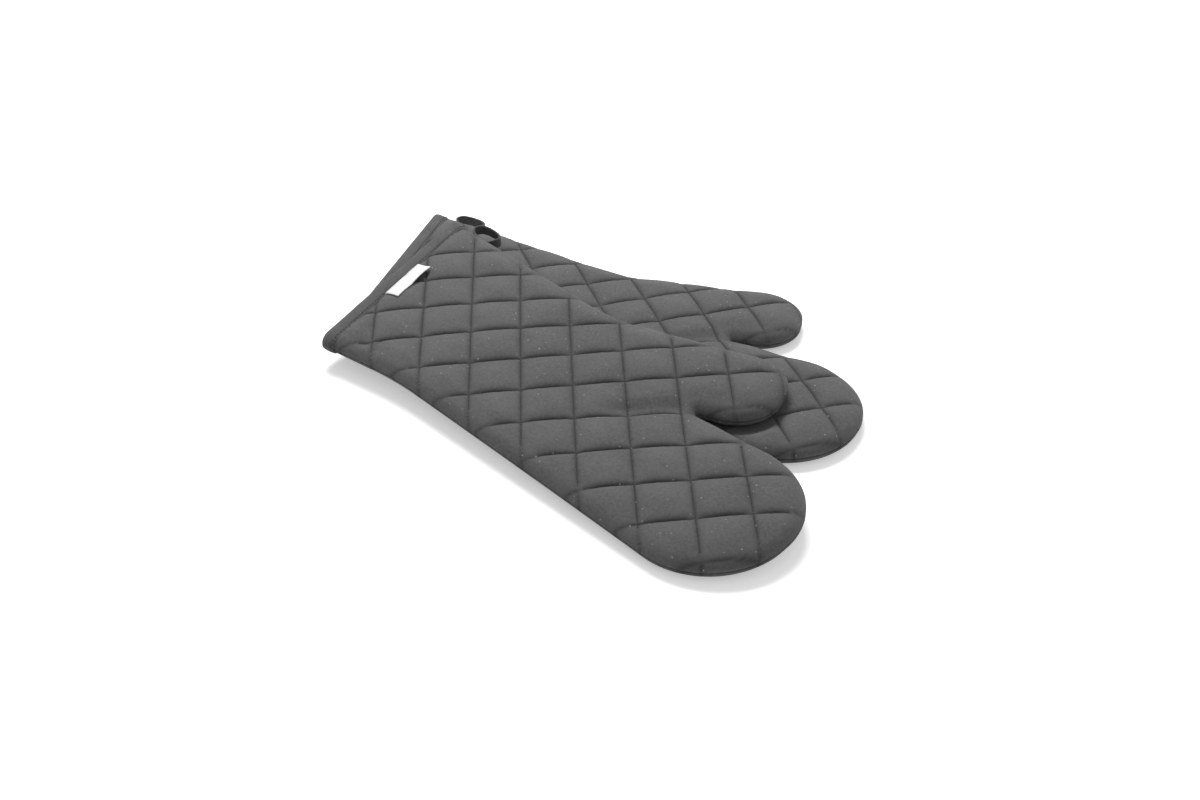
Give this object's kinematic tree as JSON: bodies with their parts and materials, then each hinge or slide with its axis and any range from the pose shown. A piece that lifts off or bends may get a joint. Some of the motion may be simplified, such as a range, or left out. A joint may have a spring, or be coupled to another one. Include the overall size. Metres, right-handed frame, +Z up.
{
  "type": "heat resistant mitt pair",
  "caption": "Pair of long quilted heat resistant mitts with bound cuffs, hanging loops and a blank label, one lying across the other.",
  "frame": {"origin": "middle of the pair's box at floor level", "axes": "+Z up, +X along the lower mitt from its cuff to its fingers, +Y to its thumb side"},
  "size_m": [0.4378, 0.332, 0.0506],
  "materials": {
    "cover_twill": "dark grey brushed cotton twill",
    "wadding": "felted cotton wadding",
    "lining": "grey cotton lining",
    "thread": "dark grey sewing thread",
    "binding_tape": "dark grey twill tape",
    "label_tape": "white satin tape, blank",
    "label_thread": "white sewing thread"
  },
  "bodies": {
    "lower_mitt": {"lower_back_cover": "cover_twill", "lower_back_lining": "lining", "lower_back_quilting": "thread", "lower_back_wadding": "wadding", "lower_back_wadding_edge": "wadding", "lower_binding_stitches": "thread", "lower_cuff_binding": "binding_tape", "lower_palm_cover": "cover_twill", "lower_palm_lining": "lining", "lower_palm_quilting": "thread", "lower_palm_wadding": "wadding", "lower_side_seam": "thread"},
    "lower_loop": {"lower_hanging_loop": "binding_tape", "lower_loop_tack": "thread"},
    "upper_mitt": {"upper_back_cover": "cover_twill", "upper_back_lining": "lining", "upper_back_quilting": "thread", "upper_back_wadding": "wadding", "upper_back_wadding_edge": "wadding", "upper_binding_stitches": "thread", "upper_cuff_binding": "binding_tape", "upper_palm_cover": "cover_twill", "upper_palm_lining": "lining", "upper_palm_quilting": "thread", "upper_palm_wadding": "wadding", "upper_side_seam": "thread"},
    "upper_loop": {"upper_hanging_loop": "binding_tape", "upper_loop_tack": "thread"},
    "upper_label_flap": {"upper_label": "label_tape", "upper_label_stitches": "label_thread"}
  },
  "joints": [
    {"name": "upper_mitt_lift", "type": "slide", "parent": "lower_mitt", "child": "upper_mitt", "axis": [0, 0, 1], "range_m": [0, 0.15]},
    {"name": "lower_loop_swing", "type": "hinge", "parent": "lower_mitt", "child": "lower_loop", "pos_m": [-0.18768, 0.15327, 0.007], "axis": [0.994, -0.109, 0], "range_deg": [-30, 45]},
    {"name": "upper_loop_swing", "type": "hinge", "parent": "upper_mitt", "child": "upper_loop", "pos_m": [-0.13693, 0.09868, 0.04006], "axis": [0.9394, -0.3403, -0.0422], "range_deg": [-30, 45]},
    {"name": "upper_label_lift", "type": "hinge", "parent": "upper_mitt", "child": "upper_label_flap", "pos_m": [-0.15335, -0.00936, 0.03703], "axis": [-0.014, -0.9923, -0.1231], "range_deg": [0, 100]}
  ]
}
